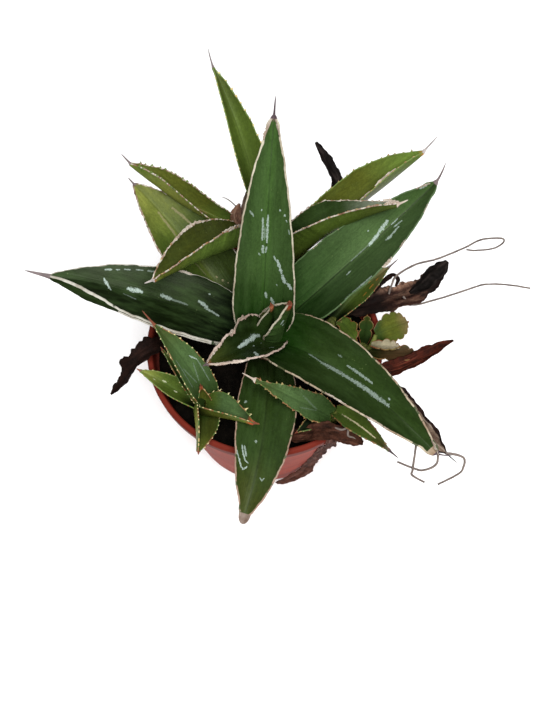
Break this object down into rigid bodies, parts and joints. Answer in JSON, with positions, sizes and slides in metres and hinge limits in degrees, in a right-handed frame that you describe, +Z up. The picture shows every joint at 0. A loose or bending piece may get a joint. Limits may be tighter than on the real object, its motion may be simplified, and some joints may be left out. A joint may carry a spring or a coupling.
{
  "type": "potted succulent plant",
  "caption": "Rosette succulent with channelled dark green leaves edged in pale horn and tipped with spines, with toothed offsets and dry leaves, in a round tapered plastic nursery pot.",
  "frame": {"origin": "centre of the pot's flat base, where the pot stands on the surface below it", "axes": "+Z up along the pot's axis; +Y towards the back of the plant, where the tall leaf and the back offset stand; +X to the right seen from the front"},
  "size_m": [0.3747, 0.3044, 0.3],
  "materials": {
    "pot": "satin, dusty",
    "soil": "rough, moist potting soil",
    "bark": "rough, fibrous",
    "stem": "waxy",
    "leaf": "waxy, semi-gloss",
    "young_leaf": "waxy",
    "companion_leaf": "waxy",
    "dry_leaf": "matt, wrinkled"
  },
  "bodies": {
    "root": {"main_stem": "bark", "back_offset_stem": "bark", "left_offset_stem": "stem", "right_offset_stem": "stem", "east_offset_stem": "stem", "companion_stem": "stem", "companion_side_stem": "stem", "main_bud": "leaf", "leaf_inner_east": "leaf", "leaf_inner_southwest": "leaf", "leaf_north": "leaf", "leaf_southeast": "leaf", "leaf_west": "leaf", "leaf_northeast": "leaf", "leaf_south": "leaf", "leaf_northwest": "leaf", "back_offset_leaf_north": "young_leaf", "back_offset_leaf_west": "young_leaf", "back_offset_leaf_southwest": "young_leaf", "back_offset_leaf_east": "young_leaf", "back_offset_leaf_northeast": "young_leaf", "left_offset_leaf_heart": "young_leaf", "left_offset_leaf_north": "young_leaf", "left_offset_leaf_southeast": "young_leaf", "left_offset_leaf_south": "young_leaf", "left_offset_leaf_west": "young_leaf", "left_offset_leaf_northwest": "young_leaf", "right_offset_leaf_west": "young_leaf", "right_offset_leaf_southeast": "young_leaf", "right_offset_leaf_southwest": "young_leaf", "east_offset_leaf": "young_leaf", "companion_leaf_folded": "companion_leaf", "companion_leaf_upright": "companion_leaf", "companion_leaf_round": "companion_leaf", "companion_leaf_cupped": "companion_leaf", "companion_leaf_low": "companion_leaf", "dry_leaf_southeast": "dry_leaf", "dry_leaf_back": "dry_leaf", "dry_leaf_east": "dry_leaf", "dry_leaf_low_east": "dry_leaf", "dry_leaf_west": "dry_leaf", "dry_leaf_front": "dry_leaf", "dry_leaf_hanging": "dry_leaf", "pot": "pot", "soil": "soil"}
  },
  "joints": []
}
